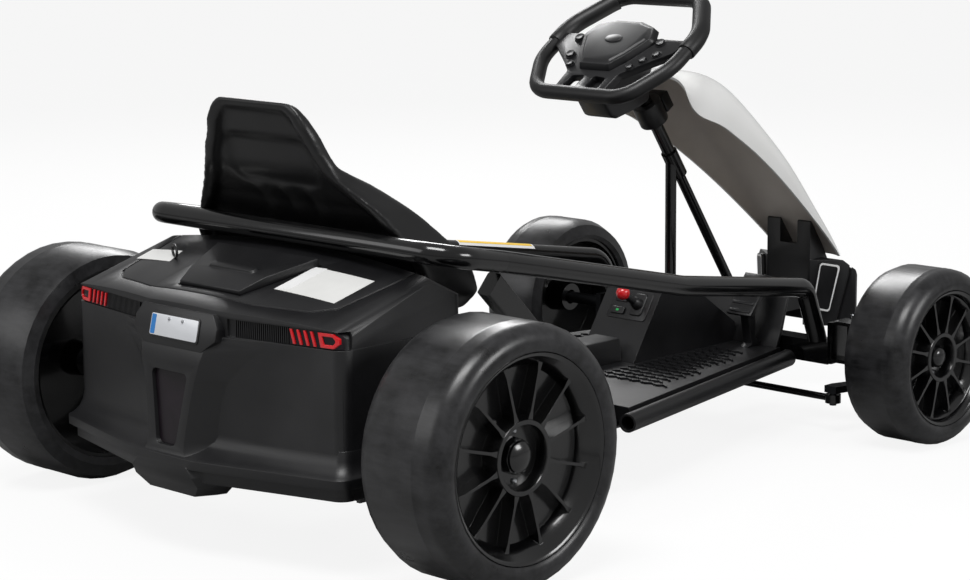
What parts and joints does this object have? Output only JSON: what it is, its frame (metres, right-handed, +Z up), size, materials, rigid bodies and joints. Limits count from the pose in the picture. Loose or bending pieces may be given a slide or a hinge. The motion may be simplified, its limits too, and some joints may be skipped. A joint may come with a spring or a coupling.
{
  "type": "electric drift kart",
  "caption": "Child's ride-on electric drift kart with slick rear wheels, tube hoop and rails, moulded seat and rear cover, steered front wheels and a white nose shield.",
  "frame": {"origin": "on the ground, in the middle of the kart's length and width", "axes": "+X ahead, +Y to the driver's left, +Z up"},
  "size_m": [1.031, 0.718, 0.5091],
  "materials": {
    "body_black": "fine texture",
    "grip_black": "fine texture",
    "panel_grey": "satin",
    "rim_black": "gloss",
    "shield_white": "gloss",
    "steel_grey": "satin",
    "tube_black": "gloss",
    "tyre_black": "satin"
  },
  "bodies": {
    "chassis": {"battery": "panel_grey", "console": "body_black", "drive_motor_left": "steel_grey", "drive_motor_right": "steel_grey", "fairing": "shield_white", "floor_pan": "body_black", "front_beam": "tube_black", "hoop_rear": "tube_black", "hoop_strut_left": "tube_black", "hoop_strut_right": "tube_black", "lower_frame": "tube_black", "nose": "body_black", "rear_axle": "steel_grey", "rear_cover": "body_black", "seat": "body_black", "seat_bracket": "tube_black", "side_rail_left": "tube_black", "side_rail_right": "tube_black", "sill_left": "body_black", "sill_right": "body_black", "steering_post": "tube_black"},
    "steering": {"steering_shaft": "tube_black", "steering_wheel": "grip_black", "wheel_pad": "body_black"},
    "knuckle_left_body": {"knuckle_left": "steel_grey"},
    "knuckle_right_body": {"knuckle_right": "steel_grey"},
    "tie_rod_body": {"tie_rod": "tube_black"},
    "battery_lid_body": {"battery_lid": "body_black"},
    "rear_wheel_left": {"rear_rim_left": "rim_black", "rear_tyre_left": "tyre_black"},
    "rear_wheel_right": {"rear_rim_right": "rim_black", "rear_tyre_right": "tyre_black"},
    "front_wheel_left": {"front_rim_left": "rim_black", "front_tyre_left": "tyre_black"},
    "front_wheel_right": {"front_rim_right": "rim_black", "front_tyre_right": "tyre_black"}
  },
  "joints": [
    {"name": "steering_turn", "type": "hinge", "parent": "chassis", "child": "steering", "pos_m": [0.3495, 0, 0.159], "axis": [-0.5621, 0, 0.8271], "range_deg": [-45, 45]},
    {"name": "knuckle_turn_left", "type": "hinge", "parent": "chassis", "child": "knuckle_left_body", "pos_m": [0.3565, 0.186, 0.1], "axis": [0, 0, 1], "range_deg": [-25, 25]},
    {"name": "knuckle_turn_right", "type": "hinge", "parent": "chassis", "child": "knuckle_right_body", "pos_m": [0.3565, -0.186, 0.1], "axis": [0, 0, 1], "range_deg": [-25, 25]},
    {"name": "tie_rod_swing", "type": "hinge", "parent": "knuckle_left_body", "child": "tie_rod_body", "pos_m": [0.3145, 0.186, 0.042], "axis": [0, 0, 1], "range_deg": [-25, 25]},
    {"name": "front_wheel_spin_left", "type": "hinge", "parent": "knuckle_left_body", "child": "front_wheel_left", "pos_m": [0.3565, 0.276, 0.1], "axis": [0, 1, 0], "continuous": true},
    {"name": "rear_wheel_spin_left", "type": "hinge", "parent": "chassis", "child": "rear_wheel_left", "pos_m": [-0.3715, 0.3055, 0.125], "axis": [0, 1, 0], "continuous": true},
    {"name": "front_wheel_spin_right", "type": "hinge", "parent": "knuckle_right_body", "child": "front_wheel_right", "pos_m": [0.3565, -0.276, 0.1], "axis": [0, 1, 0], "continuous": true},
    {"name": "rear_wheel_spin_right", "type": "hinge", "parent": "chassis", "child": "rear_wheel_right", "pos_m": [-0.3715, -0.3055, 0.125], "axis": [0, 1, 0], "continuous": true},
    {"name": "battery_lid_lift", "type": "hinge", "parent": "chassis", "child": "battery_lid_body", "pos_m": [-0.3685, 0, 0.277], "axis": [0, 1, 0], "range_deg": [0, 50]}
  ],
  "couplings": [
    {"joint": "knuckle_turn_left", "follows": "steering_turn", "ratio": 0.5555},
    {"joint": "knuckle_turn_right", "follows": "steering_turn", "ratio": 0.5555},
    {"joint": "tie_rod_swing", "follows": "steering_turn", "ratio": -0.5555}
  ]
}
